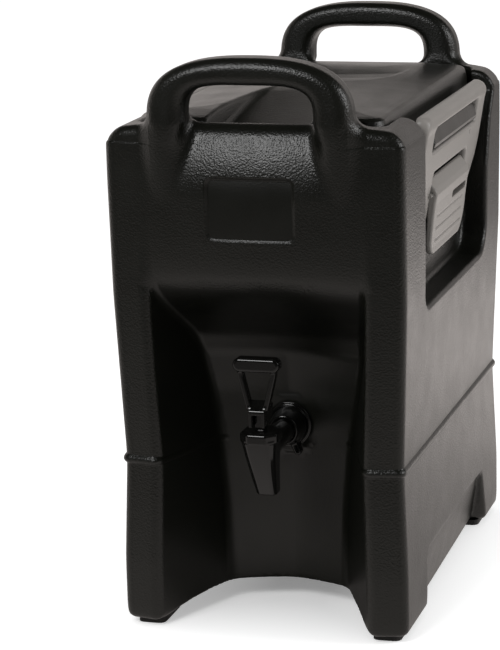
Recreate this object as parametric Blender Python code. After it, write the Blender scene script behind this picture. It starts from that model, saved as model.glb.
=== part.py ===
"""Insulated beverage server with a spigot, lift-off lid and two side latches.

Metres, +Z up, the spigot faces -Y, the origin is on the floor under the middle of the body.
"""

import bmesh
import bpy
import numpy as np

# Fits
GAP = 0.0003
EASE = 0.0015

# Body
BODY_W = 0.2615
BODY_D = 0.420
BODY_H = 0.449
BOW = 0.012
CORNER_R = 0.008
FOOT_Z = 0.0055
BELT_Z = 0.152
BELT_H = 0.010
WAIST_IN = 0.0062
FOOT_IN = 0.0028
SHOULDER_H = 0.022

# Handles
HANDLE_RISE = 0.058
HANDLE_BAR = 0.023
HANDLE_THICK = 0.036
HANDLE_OUT = 0.086
HANDLE_HOLE = 0.059
HANDLE_IN = 0.0005
HANDLE_LEAN = 0.24

# Alcove: height, half width at the lip, half width at the back corner, and the depth behind the front
# plane of the back corner and of the middle
ALCOVE = (
    (-0.030, 0.0950, 0.0560, 0.0800, 0.1100),
    (0.020, 0.0945, 0.0560, 0.0800, 0.1100),
    (0.090, 0.0930, 0.0565, 0.0770, 0.1100),
    (0.153, 0.0915, 0.0610, 0.0765, 0.1100),
    (0.196, 0.0922, 0.0685, 0.0860, 0.1080),
    (0.2315, 0.0932, 0.0735, 0.0840, 0.1000),
    (0.253, 0.0938, 0.0770, 0.0700, 0.0830),
    (0.2705, 0.0942, 0.0830, 0.0500, 0.0600),
    (0.291, 0.0946, 0.0895, 0.0200, 0.0250),
    (0.308, 0.0949, 0.0930, 0.0020, 0.0020),
    (0.325, 0.0950, 0.0945, -0.0100, -0.0100),
    (0.338, 0.0950, 0.0950, -0.0190, -0.0190),
)
ALCOVE_LIP = 0.002
ALCOVE_OUT = 0.050

# Underside: an arch from front to rear, and a sloping hand hold in each side between the feet
ARCH_H = 0.0135
HOLD_FORE = 0.089
HOLD_AFT = 0.0895
HOLD_LEAN = 0.026
HOLD_TOP = 0.0615
HOLD_DEEP = 0.0135
HOLD_TURN = 0.016

# Label recess
LABEL_W = 0.077
LABEL_H = 0.054
LABEL_LOW = 0.0035
LABEL_R = 0.007
LABEL_DEEP = 0.0025

# Side recess that holds a latch
RECESS_DEEP = 0.02575
RECESS_FORE = 0.011
RECESS_AFT = 0.004
RECESS_FLARE = 0.031
RECESS_KNEE = 0.067
RECESS_BELOW = 0.032
RECESS_R = 0.017

# Tank, foam and lid seat
SEAT_DEEP = 0.037
SKIN = 0.005
BACK_WALL = 0.007
END_WALL = 0.020
TANK_WALL = 0.003
TANK_BELOW = 0.026
FOAM = 0.020
FOAM_SIDE = 0.0195
FOAM_REAR = 0.022
FOAM_BOTTOM = 0.062
TANK_R = 0.016
FLANGE = 0.0032

# Lid. The edge lists drops below the crown and insets.
LID_OVER = 0.001
LID_END = 0.020
LID_R = 0.016
LID_CROWN = 0.0445
LID_EDGE = ((0.0235, 0.0), (0.0170, 0.0025), (0.0125, 0.0090), (0.0050, 0.0340))
LID_FLAT = 0.036
LID_ROOF = 0.020
LID_SKIN = 0.0092
GASKET = 0.004
GASKET_OVER = 0.014
PAN = 0.003
PLUG_DEEP = 0.028
PLUG_TAPER = 0.004
PLUG_EASE = 0.004
SCOOP_HALF = 0.050
SCOOP_LONG = 0.145
SCOOP_DEEP = 0.0135

# Latch, from the bar that hangs on the lid down to the tip of the lever
LATCH_Y = 0.0105
BAR_R = 0.008
BAR_UP = 0.0205
FRAME_HALF = 0.126
FRAME_THICK = 0.010
FRAME_LEAN = 0.16
BAND = 0.0007
WINDOW_HALF = 0.093
WINDOW_H = 0.0253
WINDOW_R = 0.0025
CROSS_H = 0.0125
LEG_BELOW = 0.027
LUG_H = 0.0188
LUG_IN = 0.0035
LEVER_HALF = 0.070
LEVER_EASE = 0.007
LEVER_H = 0.068
LEVER_OFF = 0.01025
PIN_OFF = 0.0048
PIN_DOWN = 0.012
PIN_R = 0.0022
PIN_PAST = 0.009
CATCH_DOWN = 0.029
CATCH_H = 0.012
CATCH_HALF = 0.028
SCREW_R = 0.002
SCREW_OUT = 0.016
SLOT_DOWN = 0.0275
SLOT_H = 0.006
SLOT_LONG = 0.058

# Feet
PAD_IN = 0.02375
PAD_FORE = 0.0395
PAD_AFT = 0.044
PAD_HALF_X = 0.0125
PAD_HALF_Y = 0.0255
PAD_R = 0.006
STUD_R = 0.006
STUD_UP = 0.0085

# Spigot, from the shank through the wall
TAP_IN = 0.010
SHANK_Z = 0.165
SHANK_R = 0.011
SHANK_BORE = 0.0065
SHANK_PAST = 0.0062
SPOUT_DROP = 0.043
SPOUT_BACK = 0.019
SPOUT_TIP_R = 0.0095
SPOUT_R = 0.0150
SPOUT_BORE = 0.005
BARREL_DROP = 0.007
COLLAR_UP = 0.0035
COLLAR_H = 0.012
COLLAR_R = 0.0180
CHAMBER_R = 0.0085
NECK_HALF_X = 0.0085
NECK_HALF_Y = 0.0125
NECK_H = 0.0185
BONNET_FLANGE = 0.0037
STEM_R = 0.0032
STEM_UP = 0.0025
CUP_R = 0.0075
CUP_H = 0.007
TAP_PIN_FORE = 0.0065
TAP_PIN_UP = 0.0125
TAP_PIN_R = 0.0018
GRIP_Y = 0.00625
CHEEK = 0.004
CHEEK_DOWN = 0.005
WEB_UP = 0.0135
WEB_H = 0.0065
EYE_H = 0.024
GRIP_BAR = 0.011
GRIP_HALF = 0.0205
NUT_R = 0.0205
NUT_LOBE = 0.006
NUT_THICK = 0.0092
WASHER = 0.002
WASHER_R = 0.019
BOSS_R = 0.027
BOSS_OUT = 0.006

# Cutters reach this far past the body
PAST = 0.060

# Places that follow from the sizes
half_w = BODY_W / 2
half_d = BODY_D / 2
recess_x = half_w - RECESS_DEEP
cavity_x = recess_x - SKIN
shoulder_z = BODY_H - SHOULDER_H
handle_top = BODY_H + HANDLE_RISE
seat_z = BODY_H - SEAT_DEEP
bar_x = half_w - BAR_R
bar_z = seat_z + BAR_UP
window_top = bar_z - BAR_R - BAND
cross_top = window_top - WINDOW_H
cross_bottom = cross_top - CROSS_H
lever_top = cross_bottom - LEVER_EASE
lever_tip = lever_top - LEVER_H
lever_back = recess_x + LEVER_OFF
pin_x = lever_back + PIN_OFF
pin_z = lever_top - PIN_DOWN
leg_bottom = pin_z - LEG_BELOW
recess_bottom = lever_tip - RECESS_BELOW
recess_front = LATCH_Y - FRAME_HALF - RECESS_FORE
recess_rear = LATCH_Y + FRAME_HALF + RECESS_AFT
alcove_back = ALCOVE[3][4] - half_d
boss_face = alcove_back - BOSS_OUT
cavity_front = alcove_back + BACK_WALL
cavity_rear = half_d - END_WALL
tank_half = cavity_x - FOAM_SIDE
tank_front = cavity_front + FOAM
tank_rear = cavity_rear - FOAM_REAR
tank_bottom = SHANK_Z - TANK_BELOW
lid_half_x = recess_x + LID_OVER
lid_half_y = half_d - LID_END
pad_x = half_w - PAD_IN
tap_y = TAP_IN - half_d

for old in list(bpy.data.objects):
    bpy.data.objects.remove(old, do_unlink=True)

COLOURS = {
    "black_plastic": (0.012, 0.012, 0.011),
    "charcoal_nylon": (0.10, 0.098, 0.095),
    "foam": (0.75, 0.70, 0.52),
    "liner": (0.035, 0.035, 0.034),
    "rubber": (0.008, 0.008, 0.008),
    "steel": (0.55, 0.55, 0.54),
    "gloss_black": (0.006, 0.006, 0.006),
    "silicone": (0.62, 0.60, 0.56),
}


def material(name, kind):
    """A Principled material of its own for the node."""
    made = bpy.data.materials.new(name + "_" + kind)
    made.use_nodes = True
    shader = made.node_tree.nodes["Principled BSDF"]
    shader.inputs["Base Color"].default_value = (*COLOURS[kind], 1.0)
    shader.inputs["Roughness"].default_value = 0.45
    shader.inputs["Metallic"].default_value = 1.0 if kind == "steel" else 0.0
    return made


def make(name, points, faces, kind=None, origin=(0.0, 0.0, 0.0)):
    """A mesh object with outward faces. Without a kind it is a cutter."""
    mesh = bpy.data.meshes.new(name)
    shifted = np.asarray(points, float) - np.asarray(origin, float)
    mesh.from_pydata(shifted.tolist(), [], [list(map(int, f)) for f in faces])
    work = bmesh.new()
    work.from_mesh(mesh)
    bmesh.ops.recalc_face_normals(work, faces=work.faces)
    work.to_mesh(mesh)
    work.free()
    made = bpy.data.objects.new(name, mesh)
    made.location = origin
    bpy.context.scene.collection.objects.link(made)
    if kind:
        mesh.materials.append(material(name, kind))
    else:
        made.hide_render = True
        made.display_type = "WIRE"
    return made


def loft(name, loops, kind=None, origin=(0.0, 0.0, 0.0)):
    """A solid through loops of equal length, closed by a face at each end."""
    count = len(loops[0])
    points = np.concatenate([np.asarray(loop, float) for loop in loops])
    faces = [list(range(count)), list(range(len(points) - count, len(points)))]
    for row in range(len(loops) - 1):
        for i in range(count):
            j = (i + 1) % count
            low = row * count
            faces.append([low + i, low + j, low + count + j, low + count + i])
    return make(name, points, faces, kind, origin)


def along(axis, flat, at):
    """A flat loop set into space: its two numbers fill the axes other than this one, in order."""
    flat = np.asarray(flat, float)
    return np.insert(flat, axis, at, axis=1)


def prism(name, flat, axis, low, high, kind=None, origin=(0.0, 0.0, 0.0)):
    """A flat loop drawn out along an axis."""
    return loft(name, [along(axis, flat, low), along(axis, flat, high)], kind, origin)


def ring(name, outer, inner, axis, low, high, kind=None, origin=(0.0, 0.0, 0.0)):
    """A solid between two flat loops of equal length, drawn out along an axis."""
    count = len(outer)
    points = np.concatenate(
        [along(axis, flat, at) for at in (low, high) for flat in (outer, inner)]
    )
    faces = []
    for i in range(count):
        j = (i + 1) % count
        a, b, c, d = 0, count, 2 * count, 3 * count
        faces.append([a + i, a + j, b + j, b + i])
        faces.append([c + i, c + j, d + j, d + i])
        faces.append([a + i, a + j, c + j, c + i])
        faces.append([b + i, b + j, d + j, d + i])
    return make(name, points, faces, kind, origin)


def cut(target, cutter, operation="DIFFERENCE"):
    """A Boolean on the target."""
    step = target.modifiers.new(cutter.name, "BOOLEAN")
    step.operation = operation
    step.solver = "EXACT"
    step.object = cutter


def circle(radius, count, centre=(0.0, 0.0), turn=0.0):
    angle = np.arange(count) / count * 2 * np.pi + turn
    return np.stack([np.cos(angle), np.sin(angle)], 1) * radius + np.asarray(centre)


def rounded(x0, x1, y0, y1, radius, steps=4):
    """A rectangle with round corners."""
    turn = np.linspace(0, np.pi / 2, steps + 1)
    loop = []
    corners = ((x1, y1, 0), (x0, y1, 1), (x0, y0, 2), (x1, y0, 3))
    for x, y, quarter in corners:
        cx = x - radius if x == x1 else x + radius
        cy = y - radius if y == y1 else y + radius
        angle = turn + quarter * np.pi / 2
        loop.append(np.stack([cx + radius * np.cos(angle), cy + radius * np.sin(angle)], 1))
    return np.concatenate(loop)


def body_loop(z, half_w, half_d):
    """A body section: straight sides, round corners, and ends that bow out."""
    flat_x = half_w - CORNER_R
    across = np.linspace(-flat_x, flat_x, 9)
    bow = half_d + BOW * (1 - (across / flat_x) ** 2)
    turn = np.linspace(0, np.pi / 2, 4)[1:-1]
    sweep = np.stack([np.cos(turn), np.sin(turn)], 1) * CORNER_R
    cy = half_d - CORNER_R
    front = np.stack([across, -bow], 1)
    right_front = np.stack([flat_x + sweep[::-1, 0], -cy - sweep[::-1, 1]], 1)
    right = np.array([[half_w, -cy], [half_w, cy]])
    right_rear = np.stack([flat_x + sweep[:, 0], cy + sweep[:, 1]], 1)
    half = np.concatenate([front, right_front, right, right_rear])
    return along(2, np.concatenate([half, -half[:9], -half[9:]]), z)


def handle_loops(sign):
    """Sections of a carrying handle, from one leg over the arch to the other leg."""
    loops = []
    around = np.arange(12) / 12 * 2 * np.pi
    fat = np.sign(np.cos(around)) * np.abs(np.cos(around)) ** 0.7
    wide = np.sign(np.sin(around)) * np.abs(np.sin(around)) ** 0.7
    spring = BODY_H + 0.003
    rise_out = handle_top - spring
    rise_in = rise_out - HANDLE_BAR
    arch = [(t, 0.0) for t in np.linspace(0.0, np.pi, 17)]
    stations = [(0.0, 0.064), (0.0, 0.030)] + arch + [(np.pi, 0.030), (np.pi, 0.064)]
    for t, down in stations:
        c, s = np.cos(t), max(np.sin(t), 0.0)
        outer = np.array([HANDLE_OUT * np.sign(c) * abs(c) ** 0.75, spring + rise_out * s**0.75 - down])
        inner = np.array([HANDLE_HOLE * np.sign(c) * abs(c) ** 0.5, spring + rise_in * s**0.5 - down])
        mid = (outer + inner) / 2
        arm = (outer - inner) / 2
        y = sign * (half_d - HANDLE_IN + wide * HANDLE_THICK / 2 - HANDLE_LEAN * down)
        loops.append(np.stack([mid[0] + arm[0] * fat, y, mid[1] + arm[1] * fat], 1))
    return loops


def alcove_loops():
    """Plan sections of the spigot alcove, from under the base to its rolled top edge."""
    loops = []
    for z, front, back, deep, middle in ALCOVE:
        u = np.linspace(1, -1, 7)
        y = middle + (deep - middle) * u**2 - half_d
        arc = np.stack([back * u, y], 1)
        splay = (front - back) / (deep - ALCOVE_LIP) if deep > ALCOVE_LIP + 0.005 else 0.0
        reach = front + splay * (ALCOVE_OUT + ALCOVE_LIP)
        ends = np.array([[-reach, -half_d - ALCOVE_OUT], [reach, -half_d - ALCOVE_OUT]])
        loops.append(along(2, np.concatenate([arc, ends]), z))
    return loops


# The outer shell
levels = (
    (FOOT_Z, half_w - FOOT_IN - 0.002, half_d - 0.0065),
    (FOOT_Z + 0.006, half_w - FOOT_IN, half_d - 0.005),
    (FOOT_Z + 0.052, half_w - FOOT_IN, half_d - 0.0048),
    (BELT_Z - BELT_H / 2, half_w - WAIST_IN, half_d - 0.0075),
    (BELT_Z - BELT_H / 5, half_w - WAIST_IN + 0.002, half_d - 0.0055),
    (BELT_Z + BELT_H / 5, half_w - WAIST_IN + 0.002, half_d - 0.0055),
    (BELT_Z + BELT_H / 2, half_w - WAIST_IN, half_d - 0.0075),
    (ALCOVE[8][0] + 0.009, half_w - 0.0008, half_d - 0.0025),
    (BODY_H - 0.049, half_w, half_d),
    (shoulder_z, half_w, half_d),
    (shoulder_z + SHOULDER_H / 2, half_w - 0.004, half_d - 0.003),
    (BODY_H - 0.0035, half_w - 0.0142, half_d - 0.0095),
    (BODY_H, half_w - 0.0247, half_d - 0.017),
)
shell = loft("outer_shell", [body_loop(*level) for level in levels], "black_plastic")
for sign, word in ((-1, "front"), (1, "rear")):
    cut(shell, loft("helper_handle_" + word, handle_loops(sign)), "UNION")
cut(shell, loft("helper_alcove", alcove_loops()))

boss = circle(BOSS_R, 24, (0.0, SHANK_Z))
cut(shell, prism("helper_boss", boss, 1, boss_face, cavity_front - SKIN / 2), "UNION")
above = handle_top + PAST
outside = half_w + PAST
turn = np.linspace(0, np.pi / 2, 4)
recess = [(recess_front, above)]
recess += [
    (recess_front + RECESS_R * (1 - np.cos(a)), recess_bottom + RECESS_R * (1 - np.sin(a))) for a in turn
]
recess += [
    (recess_rear - 0.004 - 2 * RECESS_R * (1 - np.sin(a)), recess_bottom + 2 * RECESS_R * (1 - np.cos(a)))
    for a in turn
]
recess += [
    (recess_rear, shoulder_z - RECESS_KNEE),
    (recess_rear + RECESS_FLARE * 0.45, shoulder_z - 0.022),
    (recess_rear + RECESS_FLARE, shoulder_z),
    (recess_rear + RECESS_FLARE, above),
]
hold_low = FOOT_Z - 0.010
hold_fall = HOLD_TOP - hold_low
hold_front = HOLD_FORE - half_d
hold_rear = half_d - HOLD_AFT
hold = [
    (hold_front, hold_low),
    (hold_front + 0.002, HOLD_TOP - 0.016),
    (hold_front + 0.011, HOLD_TOP - 0.005),
    (hold_front + 0.032, HOLD_TOP - 0.0015),
    (hold_rear, HOLD_TOP),
    (hold_rear + HOLD_LEAN, hold_low),
]
for sign, word in ((1, "right"), (-1, "left")):
    ends = sorted((sign * recess_x, sign * outside))
    cut(shell, prism("helper_recess_" + word, recess, 0, *ends))
    depth = [HOLD_DEEP * (HOLD_TOP - z) / hold_fall + HOLD_TURN * (y - hold_front) for y, z in hold]
    inner = [(sign * (half_w - FOOT_IN - d), y, z) for d, (y, z) in zip(depth, hold)]
    outer = [(sign * outside, y, z) for y, z in hold]
    cut(shell, loft("helper_hold_" + word, [inner, outer]))
seat_x = lid_half_x + EASE
seat_y = lid_half_y + EASE
seat = rounded(-seat_x, seat_x, -seat_y, seat_y, LID_R + EASE)
cut(shell, prism("helper_seat", seat, 2, seat_z, above))
cavity = rounded(-cavity_x, cavity_x, cavity_front, cavity_rear, TANK_R)
cut(shell, prism("helper_cavity", cavity, 2, FOAM_BOTTOM, seat_z + 0.010))
across = np.sin(np.linspace(-np.pi / 2, np.pi / 2, 15))
arch_half = pad_x - PAD_HALF_X - 0.001
arch = np.stack([arch_half * across, FOOT_Z + ARCH_H * (1 - across**6)], 1)
below = [(arch_half, -0.020), (-arch_half, -0.020)]
beyond = half_d + BOW + PAST
cut(shell, prism("helper_arch", np.concatenate([arch, below]), 1, -beyond, beyond))
label_face = LABEL_DEEP - half_d - BOW
label_z = (ALCOVE[-1][0] + shoulder_z) / 2 - LABEL_LOW
label = rounded(
    -LABEL_W / 2, LABEL_W / 2, label_z - LABEL_H / 2, label_z + LABEL_H / 2, LABEL_R, 3
)
cut(shell, prism("helper_label", label, 1, -beyond, label_face))
shank_hole = circle(SHANK_R + 2 * GAP, 20, (0.0, SHANK_Z))
cut(shell, prism("helper_shank_shell", shank_hole, 1, boss_face - 0.010, cavity_front + 0.010))

# Feet
for x_sign, x_word in ((-1, "left"), (1, "right")):
    for y, y_word in ((PAD_FORE - half_d, "front"), (half_d - PAD_AFT, "rear")):
        x = x_sign * pad_x
        word = y_word + "_" + x_word
        spot = (x, y, 0.0)
        pad = prism(
            "foot_" + word,
            rounded(x - PAD_HALF_X, x + PAD_HALF_X, y - PAD_HALF_Y, y + PAD_HALF_Y, PAD_R, 3),
            2,
            0.0,
            FOOT_Z - GAP,
            "rubber",
            spot,
        )
        stud = circle(STUD_R, 14, (x, y))
        cut(pad, prism("helper_stud_" + word, stud, 2, FOOT_Z / 2, FOOT_Z + STUD_UP), "UNION")
        socket = circle(STUD_R + GAP, 14, (x, y))
        cut(shell, prism("helper_socket_" + word, socket, 2, -0.010, FOOT_Z + STUD_UP + GAP))

# Foam and tank
foam = prism(
    "foam_core",
    rounded(-cavity_x + GAP, cavity_x - GAP, cavity_front + GAP, cavity_rear - GAP, TANK_R - GAP),
    2,
    FOAM_BOTTOM + GAP,
    seat_z - FLANGE - 2 * GAP,
    "foam",
)
tank_hole = rounded(
    -tank_half - GAP, tank_half + GAP, tank_front - GAP, tank_rear + GAP, TANK_R + GAP
)
cut(foam, prism("helper_tank_hole", tank_hole, 2, tank_bottom - GAP, above))
cut(foam, prism("helper_shank_foam", shank_hole, 1, cavity_front - 0.020, tank_front + 0.020))
tank = prism(
    "tank_liner",
    rounded(-tank_half, tank_half, tank_front, tank_rear, TANK_R),
    2,
    tank_bottom,
    seat_z - GAP,
    "liner",
)
flange = rounded(
    -cavity_x + EASE, cavity_x - EASE, cavity_front + EASE, cavity_rear - EASE, TANK_R - EASE
)
cut(tank, prism("helper_flange", flange, 2, seat_z - GAP - FLANGE, seat_z - GAP), "UNION")
hollow_x = tank_half - TANK_WALL
hollow_front = tank_front + TANK_WALL
hollow_rear = tank_rear - TANK_WALL
hollow = rounded(-hollow_x, hollow_x, hollow_front, hollow_rear, TANK_R - TANK_WALL)
cut(tank, prism("helper_hollow", hollow, 2, tank_bottom + TANK_WALL, above))
cut(tank, prism("helper_shank_tank", shank_hole, 1, tank_front - 0.010, hollow_front + 0.010))

# Lid
pan_low = seat_z + GASKET + GAP
pan_top = pan_low + PAN
lid_top = seat_z + LID_CROWN
roof_z = seat_z + LID_ROOF
lift_at = (0.0, 0.0, seat_z)


def lid_loop(z, inset):
    return along(
        2,
        rounded(
            -lid_half_x + inset,
            lid_half_x - inset,
            -lid_half_y + inset,
            lid_half_y - inset,
            LID_R + 0.2 * inset,
        ),
        z,
    )


lid = loft(
    "lid_shell",
    [lid_loop(seat_z + EASE, 0.0)]
    + [lid_loop(lid_top - drop, inset) for drop, inset in LID_EDGE]
    + [lid_loop(lid_top, lid_half_x - LID_FLAT)],
    "black_plastic",
    lift_at,
)
lug_top = window_top - 2 * GAP
lug_low = window_top - LUG_H
lug_out = half_w - LUG_IN
lug = [(lid_half_x - 0.005, seat_z + 0.005), (lid_half_x, seat_z + 0.0035)]
lug += [(lid_half_x, lug_low), (lug_out, lug_low), (lug_out + 0.0015, lug_low + 0.006)]
lug += [(lug_out - 0.003, lug_top), (lid_half_x - 0.005, lug_top)]
lug_half = WINDOW_HALF - WINDOW_R
for sign, word in ((1, "right"), (-1, "left")):
    side = [(sign * x, z) for x, z in lug]
    cut(
        lid,
        prism("helper_lug_" + word, side, 1, LATCH_Y - lug_half, LATCH_Y + lug_half),
        "UNION",
    )
roof_x = lid_half_x - LID_SKIN
roof_y = lid_half_y - LID_SKIN
lid_hollow = rounded(-roof_x, roof_x, -roof_y, roof_y, LID_R - LID_SKIN / 2)
cut(lid, prism("helper_lid_hollow", lid_hollow, 2, seat_z - 0.020, roof_z))
scoop_z = lid_top - SCOOP_DEEP
for sign, word in ((-1, "front"), (1, "rear")):
    u = np.linspace(-1, 1, 9)
    reach = lid_half_y + 0.010
    bay = np.stack([SCOOP_HALF * u, sign * (reach - SCOOP_LONG * (1 - np.abs(u) ** 2.4))], 1)
    cut(lid, prism("helper_scoop_" + word, bay, 2, scoop_z, above))

fill_x = roof_x - GAP
fill_y = roof_y - GAP
fill = rounded(-fill_x, fill_x, -fill_y, fill_y, LID_R - LID_SKIN / 2 - GAP)
prism("lid_foam", fill, 2, pan_top + GAP, roof_z - GAP, "foam", lift_at)
pan = prism("lid_pan", fill, 2, pan_low, pan_top, "liner", lift_at)


def plug_loop(z, inset):
    return along(
        2,
        rounded(
            -hollow_x + inset, hollow_x - inset, hollow_front + inset, hollow_rear - inset, TANK_R - TANK_WALL
        ),
        z,
    )


plug_low = seat_z - PLUG_DEEP
cut(
    pan,
    loft(
        "helper_plug",
        [plug_loop(plug_low, PLUG_EASE + PLUG_TAPER), plug_loop(pan_low + PAN / 2, PLUG_EASE)],
    ),
    "UNION",
)
dish = PLUG_EASE + PLUG_TAPER + PAN
cut(
    pan,
    loft("helper_dish", [plug_loop(plug_low + PAN, dish), plug_loop(pan_top + 0.010, dish)]),
)
over = GASKET_OVER
lip = 0.001
ring(
    "lid_gasket",
    rounded(-hollow_x - over, hollow_x + over, hollow_front - over, hollow_rear + over, TANK_R + 0.006),
    rounded(-hollow_x + lip, hollow_x - lip, hollow_front + lip, hollow_rear - lip, TANK_R - 0.004),
    2,
    seat_z,
    seat_z + GASKET,
    "silicone",
    lift_at,
)

# Latches
frame_in = half_w - FRAME_THICK
frame_out = half_w
left_y = LATCH_Y - FRAME_HALF
right_y = LATCH_Y + FRAME_HALF
cheek = LEVER_HALF + EASE
plate = [(left_y, bar_z), (left_y, cross_bottom), (right_y, cross_bottom), (right_y, bar_z)]
window = rounded(LATCH_Y - WINDOW_HALF, LATCH_Y + WINDOW_HALF, cross_top, window_top, WINDOW_R, 2)
leg_top = cross_top - 0.002
leg = [
    (cheek, leg_bottom),
    (cheek + 0.012, leg_bottom),
    (FRAME_HALF - 0.020, leg_bottom + 0.012),
    (FRAME_HALF - 0.005, leg_bottom + 0.029),
    (FRAME_HALF - GAP, cross_bottom),
    (FRAME_HALF - GAP, leg_top),
    (cheek, leg_top),
]
lever_side = [
    (lever_back, lever_top - 0.006),
    (lever_back + 0.0015, lever_top - 0.0025),
    (lever_back + 0.005, lever_top),
    (pin_x + 0.004, lever_top),
    (pin_x + 0.0052, lever_top - 0.003),
    (pin_x + 0.0037, lever_top - 0.010),
    (pin_x + 0.0030, lever_tip + 0.024),
    (pin_x + 0.0036, lever_tip + 0.010),
    (pin_x + 0.0028, lever_tip + 0.003),
    (pin_x + 0.0004, lever_tip),
    (lever_back + 0.0012, lever_tip + 0.003),
    (lever_back + 0.0006, lever_tip + 0.024),
]
slot_low = lever_top - SLOT_DOWN
slot_rear = LATCH_Y + LEVER_HALF - 0.008
catch_z = lever_top - CATCH_DOWN
for sign, word in ((1, "right"), (-1, "left")):
    on_bar = (sign * bar_x, LATCH_Y, bar_z)
    on_pin = (sign * pin_x, LATCH_Y, pin_z)
    ends = sorted((sign * frame_in, sign * frame_out))
    frame = prism(word + "_latch_frame", plate, 0, *ends, "charcoal_nylon", on_bar)
    for step, end in ((-1, "front"), (1, "rear")):
        faces = []
        for x in (frame_in, frame_out):
            lean = [x - FRAME_LEAN * max(cross_top - z, 0.0) for _, z in leg]
            faces.append([(sign * q, LATCH_Y + step * y, z) for q, (y, z) in zip(lean, leg)])
        cut(frame, loft("helper_leg_" + word + "_" + end, faces), "UNION")
    bar = circle(BAR_R, 20, (sign * bar_x, bar_z), np.pi / 20)
    cut(frame, prism("helper_bar_" + word, bar, 1, left_y + GAP, right_y - GAP), "UNION")
    wide = sorted((sign * (frame_in - 0.010), sign * (frame_out + 0.010)))
    cut(frame, prism("helper_window_" + word, window, 0, *wide))
    pin_hole = circle(PIN_R + GAP, 14, (sign * pin_x, pin_z))
    pin_end = LEVER_HALF + PIN_PAST
    low, high = LATCH_Y - pin_end - GAP, LATCH_Y + pin_end + GAP
    cut(frame, prism("helper_pin_frame_" + word, pin_hole, 1, low, high))
    side = [(sign * x, z) for x, z in lever_side]
    low, high = LATCH_Y - LEVER_HALF, LATCH_Y + LEVER_HALF
    lever = prism(word + "_latch_lever", side, 1, low, high, "charcoal_nylon", on_pin)
    cut(lever, prism("helper_pin_lever_" + word, pin_hole, 1, low - 0.010, high + 0.010))
    slot = rounded(slot_rear - SLOT_LONG, slot_rear, slot_low, slot_low + SLOT_H, SLOT_H / 3, 2)
    cut(lever, prism("helper_slot_" + word, slot, 0, *wide))
    pin = circle(PIN_R, 14, (sign * pin_x, pin_z))
    prism(word + "_lever_pin", pin, 1, LATCH_Y - pin_end, LATCH_Y + pin_end, "steel", on_pin)

    catch_out = lever_back - EASE
    catch_side = [
        (sign * (recess_x + GAP), catch_z - CATCH_H / 2 - 0.004),
        (sign * catch_out, catch_z - CATCH_H / 2),
        (sign * catch_out, catch_z + CATCH_H / 2),
        (sign * (recess_x + GAP), catch_z + CATCH_H / 2),
    ]
    low, high = LATCH_Y - CATCH_HALF, LATCH_Y + CATCH_HALF
    catch = prism(word + "_catch", catch_side, 1, low, high, "charcoal_nylon")
    for step, letter in ((-1, "a"), (1, "b")):
        at = (LATCH_Y + step * SCREW_OUT, catch_z)
        tag = word + "_" + letter
        head_low = catch_out - 0.0026
        hole = circle(SCREW_R + GAP, 12, at)
        sink = circle(2 * SCREW_R + GAP, 12, at)
        ends = sorted((sign * (recess_x - SKIN * 0.8), sign * (frame_out + 0.010)))
        cut(catch, prism("helper_screw_" + tag, hole, 0, *ends))
        cut(shell, prism("helper_screw_shell_" + tag, hole, 0, *ends))
        ends = sorted((sign * head_low, sign * (frame_out + 0.010)))
        cut(catch, prism("helper_sink_" + tag, sink, 0, *ends))
        ends = sorted((sign * (head_low + GAP), sign * (catch_out - GAP)))
        head = circle(2 * SCREW_R, 12, at)
        screw = prism(word + "_catch_screw_" + letter, head, 0, *ends, "steel")
        body = circle(SCREW_R, 12, at)
        ends = sorted((sign * (recess_x - SKIN * 0.8 + GAP), sign * (catch_out - 2 * GAP)))
        cut(screw, prism("helper_screw_body_" + tag, body, 0, *ends), "UNION")

# Spigot


def eight(radius, y, z):
    return along(2, circle(radius, 8, (0.0, y), np.pi / 8), z)


collar_low = SHANK_Z + COLLAR_UP
collar_top = collar_low + COLLAR_H
barrel_z = SHANK_Z - BARREL_DROP
spout_z = SHANK_Z - SPOUT_DROP
spout_y = tap_y + SPOUT_BACK
spout_top = collar_low - 0.003
shank_end = tank_front + TANK_WALL + WASHER + NUT_THICK + 2 * GAP + SHANK_PAST
tap = loft(
    "faucet_body",
    [
        eight(SPOUT_TIP_R, spout_y, spout_z),
        eight(SPOUT_R, tap_y, spout_top),
        eight(COLLAR_R, tap_y, collar_low),
        eight(COLLAR_R, tap_y, collar_top - 0.002),
        eight(COLLAR_R - 0.002, tap_y, collar_top),
    ],
    "gloss_black",
)
shank = circle(SHANK_R, 20, (0.0, SHANK_Z))
cut(tap, prism("helper_shank", shank, 1, tap_y + 0.004, shank_end), "UNION")
chamber = circle(CHAMBER_R, 16, (0.0, tap_y))
cut(tap, prism("helper_chamber", chamber, 2, barrel_z, collar_top + 0.010))
bore = circle(SHANK_BORE, 14, (0.0, SHANK_Z))
cut(tap, prism("helper_bore", bore, 1, tap_y, shank_end + 0.010))
slant = SPOUT_BACK / (spout_top - spout_z)
spout_loops = []
for z in (spout_z - 0.010, barrel_z + 0.004):
    y = spout_y - slant * (z - spout_z)
    spout_loops.append(along(2, circle(SPOUT_BORE, 14, (0.0, y)), z))
cut(tap, loft("helper_spout", spout_loops))

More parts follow.
